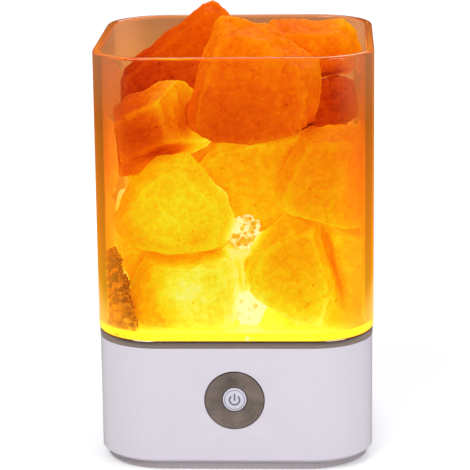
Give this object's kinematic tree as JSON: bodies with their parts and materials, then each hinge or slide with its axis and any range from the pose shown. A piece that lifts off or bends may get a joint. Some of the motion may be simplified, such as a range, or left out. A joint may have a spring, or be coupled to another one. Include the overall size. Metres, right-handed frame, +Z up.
{
  "type": "salt crystal lamp",
  "caption": "Square glass vessel heaped with rough rock salt on a white plastic base with LED light from below, chrome trim ring and a push button in a round metal dish.",
  "frame": {"origin": "centre of the rubber feet's underside, on the surface that the lamp stands on", "axes": "+Z up, front with the push button towards -Y"},
  "size_m": [0.1, 0.1, 0.1601],
  "materials": {
    "base_housing": "white, smooth",
    "bezel_retainer": "plain",
    "bottom_cover": "light grey, fine matte",
    "button_bezel": "dark pewter, polished dish",
    "chip_resistors": "dark",
    "control_board": "green circuit board",
    "control_board_screws": "zinc plated",
    "control_chip": "black",
    "cover_screws": "zinc plated",
    "filter_capacitor": "bare can",
    "glass_seal": "translucent silicone",
    "glass_vessel": "clear, lit amber from inside",
    "inlet_shell": "plated",
    "inlet_tongue": "black",
    "lead_plugs": "ivory",
    "lead_sockets": "ivory",
    "led_board": "white circuit board",
    "led_board_screws": "zinc plated",
    "led_lead": "insulated wire",
    "leds": "phosphor",
    "light_diffuser": "frosted",
    "power_button": "white",
    "power_coil": "dark grey",
    "reflector_cup": "white",
    "reflector_screws": "zinc plated",
    "rubber_feet": "dark grey",
    "salt_chunk_back_bottom_left": "rough rock salt, lit from below",
    "salt_chunk_back_bottom_right": "rough rock salt, lit from below",
    "salt_chunk_back_middle_left": "rough rock salt, lit from below",
    "salt_chunk_back_middle_right": "rough rock salt, lit from below",
    "salt_chunk_back_upper": "rough rock salt, lit from below",
    "salt_chunk_bottom_left": "rough rock salt, lit from below",
    "salt_chunk_bottom_right": "rough rock salt, lit from below",
    "salt_chunk_centre": "rough rock salt, lit from below",
    "salt_chunk_core": "rough rock salt, lit from below",
    "salt_chunk_left_edge": "rough rock salt, lit from below",
    "salt_chunk_middle_left": "rough rock salt, lit from below",
    "salt_chunk_middle_right": "rough rock salt, lit from below",
    "salt_chunk_peak": "rough rock salt, lit from below",
    "salt_chunk_right_edge": "rough rock salt, lit from below",
    "salt_chunk_top_front": "rough rock salt, lit from below",
    "salt_chunk_top_right": "rough rock salt, lit from below",
    "salt_chunk_upper_left": "rough rock salt, lit from below",
    "salt_chunk_upper_right": "rough rock salt, lit from below",
    "salt_grains": "rough rock salt, lit from below",
    "switch_board": "green circuit board",
    "switch_board_screws": "zinc plated",
    "switch_lead": "insulated wire",
    "switch_plunger": "black",
    "tact_switch": "black",
    "trim_ring": "polished"
  },
  "bodies": {
    "lamp": {"base_housing": "base_housing", "bezel_retainer": "bezel_retainer", "bottom_cover": "bottom_cover", "button_bezel": "button_bezel", "chip_resistors": "chip_resistors", "control_board": "control_board", "control_board_screws": "control_board_screws", "control_chip": "control_chip", "cover_screws": "cover_screws", "filter_capacitor": "filter_capacitor", "glass_seal": "glass_seal", "glass_vessel": "glass_vessel", "inlet_shell": "inlet_shell", "inlet_tongue": "inlet_tongue", "lead_plugs": "lead_plugs", "lead_sockets": "lead_sockets", "led_board": "led_board", "led_board_screws": "led_board_screws", "led_lead": "led_lead", "leds": "leds", "light_diffuser": "light_diffuser", "power_coil": "power_coil", "reflector_cup": "reflector_cup", "reflector_screws": "reflector_screws", "rubber_feet": "rubber_feet", "salt_chunk_back_bottom_left": "salt_chunk_back_bottom_left", "salt_chunk_back_bottom_right": "salt_chunk_back_bottom_right", "salt_chunk_back_middle_left": "salt_chunk_back_middle_left", "salt_chunk_back_middle_right": "salt_chunk_back_middle_right", "salt_chunk_back_upper": "salt_chunk_back_upper", "salt_chunk_bottom_left": "salt_chunk_bottom_left", "salt_chunk_bottom_right": "salt_chunk_bottom_right", "salt_chunk_centre": "salt_chunk_centre", "salt_chunk_core": "salt_chunk_core", "salt_chunk_left_edge": "salt_chunk_left_edge", "salt_chunk_middle_left": "salt_chunk_middle_left", "salt_chunk_middle_right": "salt_chunk_middle_right", "salt_chunk_peak": "salt_chunk_peak", "salt_chunk_right_edge": "salt_chunk_right_edge", "salt_chunk_top_front": "salt_chunk_top_front", "salt_chunk_top_right": "salt_chunk_top_right", "salt_chunk_upper_left": "salt_chunk_upper_left", "salt_chunk_upper_right": "salt_chunk_upper_right", "salt_grains": "salt_grains", "switch_board": "switch_board", "switch_board_screws": "switch_board_screws", "switch_lead": "switch_lead", "tact_switch": "tact_switch", "trim_ring": "trim_ring"},
    "button": {"power_button": "power_button", "switch_plunger": "switch_plunger"}
  },
  "joints": [
    {"name": "button_press", "type": "slide", "parent": "lamp", "child": "button", "axis": [0, 1, 0], "range_m": [0, 0.0006], "stiffness_N_per_m": 150, "springref_m": -0.0005}
  ]
}
